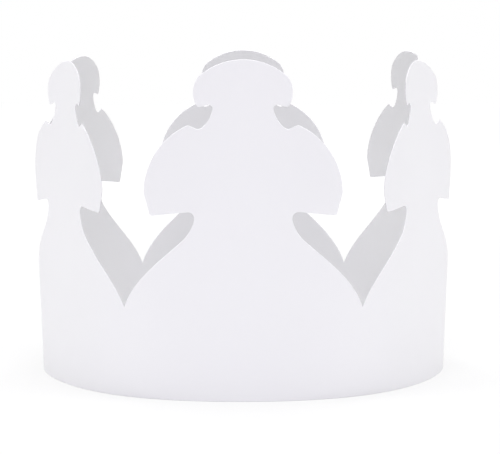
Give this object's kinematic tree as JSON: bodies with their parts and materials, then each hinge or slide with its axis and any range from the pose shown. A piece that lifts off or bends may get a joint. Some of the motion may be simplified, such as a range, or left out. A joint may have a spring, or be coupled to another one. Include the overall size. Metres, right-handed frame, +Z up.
{
  "type": "paper crown",
  "caption": "White card crown: a strip cut along its top into tall stepped points with round heads, bent into an open ring for a head and glued where its ends lap.",
  "frame": {"origin": "centre of the bounding box, at the bottom edge that the crown stands on", "axes": "+Z up to the tips; -Y towards the front point; +X to the right as seen from the front; the glued lap is at the back on the +X side"},
  "size_m": [0.1734, 0.2002, 0.1312],
  "materials": {
    "card": "smooth uncoated white card, matt"
  },
  "bodies": {
    "root": {"crown_strip": "card"}
  },
  "joints": []
}
